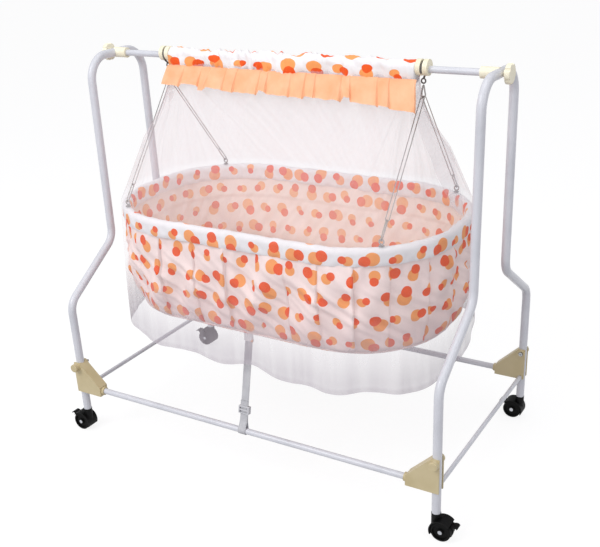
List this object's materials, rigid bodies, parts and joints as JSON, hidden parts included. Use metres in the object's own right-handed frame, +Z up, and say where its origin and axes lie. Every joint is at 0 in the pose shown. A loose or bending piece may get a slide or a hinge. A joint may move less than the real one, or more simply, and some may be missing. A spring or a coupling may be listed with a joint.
{
  "type": "baby crib",
  "caption": "Swinging baby crib: an oval dotted fabric basket hung by wire links under the top bar of a white tube stand on casters, with a net tent.",
  "frame": {"origin": "on the floor under the middle of the stand", "axes": "+X along the top bar, -Y the side with the lock strap, +Z up"},
  "size_m": [1.039, 0.58, 0.9055],
  "materials": {
    "white_tube": "white powder coat, satin",
    "cream_plastic": "moulded cream polypropylene",
    "black_nylon": "moulded black nylon",
    "black_wheel": "moulded black nylon tread",
    "bolt_steel": "bright zinc plated",
    "zinc_nut": "yellow zinc plated",
    "hook_steel": "dark spring steel",
    "link_wire": "nickel plated wire",
    "hoop_steel": "white powder coat",
    "dotted_cotton": "plain weave cotton with round printed dots",
    "lining_cotton": "plain weave cotton with round printed dots",
    "mattress_cover": "soft padded cotton",
    "hardboard": "pressed hardboard",
    "peach_satin": "thin peach satin",
    "net_mesh": "fine white polyester net",
    "webbing": "white polyester webbing",
    "buckle_plastic": "moulded white acetal"
  },
  "bodies": {
    "stand": {"bar_nuts": "bolt_steel", "bar_sleeve": "dotted_cotton", "bar_socket_left": "cream_plastic", "bar_socket_right": "cream_plastic", "base_rail_front": "white_tube", "base_rail_rear": "white_tube", "bolt_caps": "cream_plastic", "clamp_bolts": "bolt_steel", "clamp_nuts": "zinc_nut", "corner_bracket_front_left": "cream_plastic", "corner_bracket_front_right": "cream_plastic", "corner_bracket_rear_left": "cream_plastic", "corner_bracket_rear_right": "cream_plastic", "cross_rail_left": "white_tube", "cross_rail_right": "white_tube", "end_frame_left": "white_tube", "end_frame_right": "white_tube", "lock_strap": "webbing", "mosquito_net": "net_mesh", "stem_sockets": "black_nylon", "swing_bush_left": "cream_plastic", "swing_bush_right": "cream_plastic", "top_bar": "white_tube", "valance": "peach_satin"},
    "knob_left": {"hand_knob_left": "cream_plastic", "knob_bolt_left": "bolt_steel"},
    "knob_right": {"hand_knob_right": "cream_plastic", "knob_bolt_right": "bolt_steel"},
    "caster_front_left": {"caster_housing_front_left": "black_nylon", "caster_pins_front_left": "bolt_steel"},
    "wheels_front_left": {"caster_wheels_front_left": "black_wheel"},
    "lever_front_left": {"brake_lever_front_left": "black_nylon"},
    "caster_front_right": {"caster_housing_front_right": "black_nylon", "caster_pins_front_right": "bolt_steel"},
    "wheels_front_right": {"caster_wheels_front_right": "black_wheel"},
    "lever_front_right": {"brake_lever_front_right": "black_nylon"},
    "caster_rear_left": {"caster_housing_rear_left": "black_nylon", "caster_pins_rear_left": "bolt_steel"},
    "wheels_rear_left": {"caster_wheels_rear_left": "black_wheel"},
    "lever_rear_left": {"brake_lever_rear_left": "black_nylon"},
    "caster_rear_right": {"caster_housing_rear_right": "black_nylon", "caster_pins_rear_right": "bolt_steel"},
    "wheels_rear_right": {"caster_wheels_rear_right": "black_wheel"},
    "lever_rear_right": {"brake_lever_rear_right": "black_nylon"},
    "buckle": {"strap_buckle": "buckle_plastic"},
    "cradle": {"swing_hook_left": "hook_steel", "swing_hook_right": "hook_steel", "link_rings": "link_wire", "long_links": "link_wire", "short_links": "link_wire", "rim_eyes": "link_wire", "rim_tube": "hoop_steel", "rim_band": "dotted_cotton", "outer_skirt": "dotted_cotton", "basket_lining": "lining_cotton", "floor_hoop": "hoop_steel", "floor_board": "hardboard", "mattress": "mattress_cover", "strap_tab": "dotted_cotton"}
  },
  "joints": [
    {"name": "swing", "type": "hinge", "parent": "stand", "child": "cradle", "pos_m": [0, 0, 0.886], "axis": [1, 0, 0], "range_deg": [-15, 15], "deforming": ["mosquito_net", "lock_strap"]},
    {"name": "knob_turn_left", "type": "hinge", "parent": "stand", "child": "knob_left", "pos_m": [-0.4845, 0, 0.886], "axis": [-1, 0, 0], "continuous": true},
    {"name": "knob_turn_right", "type": "hinge", "parent": "stand", "child": "knob_right", "pos_m": [0.4845, 0, 0.886], "axis": [1, 0, 0], "continuous": true},
    {"name": "swivel_front_left", "type": "hinge", "parent": "stand", "child": "caster_front_left", "pos_m": [-0.47, -0.264, 0.05], "axis": [0, 0, 1], "continuous": true},
    {"name": "roll_front_left", "type": "hinge", "parent": "caster_front_left", "child": "wheels_front_left", "pos_m": [-0.485, -0.264, 0.022], "axis": [0, -1, 0], "continuous": true},
    {"name": "brake_front_left", "type": "hinge", "parent": "caster_front_left", "child": "lever_front_left", "pos_m": [-0.50654, -0.264, 0.03546], "axis": [0, -1, 0], "range_deg": [0, 18]},
    {"name": "swivel_front_right", "type": "hinge", "parent": "stand", "child": "caster_front_right", "pos_m": [0.47, -0.264, 0.05], "axis": [0, 0, 1], "continuous": true},
    {"name": "roll_front_right", "type": "hinge", "parent": "caster_front_right", "child": "wheels_front_right", "pos_m": [0.485, -0.264, 0.022], "axis": [0, 1, 0], "continuous": true},
    {"name": "brake_front_right", "type": "hinge", "parent": "caster_front_right", "child": "lever_front_right", "pos_m": [0.50654, -0.264, 0.03546], "axis": [0, 1, 0], "range_deg": [0, 18]},
    {"name": "swivel_rear_left", "type": "hinge", "parent": "stand", "child": "caster_rear_left", "pos_m": [-0.47, 0.264, 0.05], "axis": [0, 0, 1], "continuous": true},
    {"name": "roll_rear_left", "type": "hinge", "parent": "caster_rear_left", "child": "wheels_rear_left", "pos_m": [-0.485, 0.264, 0.022], "axis": [0, -1, 0], "continuous": true},
    {"name": "brake_rear_left", "type": "hinge", "parent": "caster_rear_left", "child": "lever_rear_left", "pos_m": [-0.50654, 0.264, 0.03546], "axis": [0, -1, 0], "range_deg": [0, 18]},
    {"name": "swivel_rear_right", "type": "hinge", "parent": "stand", "child": "caster_rear_right", "pos_m": [0.47, 0.264, 0.05], "axis": [0, 0, 1], "continuous": true},
    {"name": "roll_rear_right", "type": "hinge", "parent": "caster_rear_right", "child": "wheels_rear_right", "pos_m": [0.455, 0.264, 0.022], "axis": [0, -1, 0], "continuous": true},
    {"name": "brake_rear_right", "type": "hinge", "parent": "caster_rear_right", "child": "lever_rear_right", "pos_m": [0.43346, 0.264, 0.03546], "axis": [0, -1, 0], "range_deg": [0, 18]},
    {"name": "buckle_slide", "type": "slide", "parent": "stand", "child": "buckle", "axis": [0, 0.228, 0.9737], "range_m": [0, 0.12]}
  ]
}
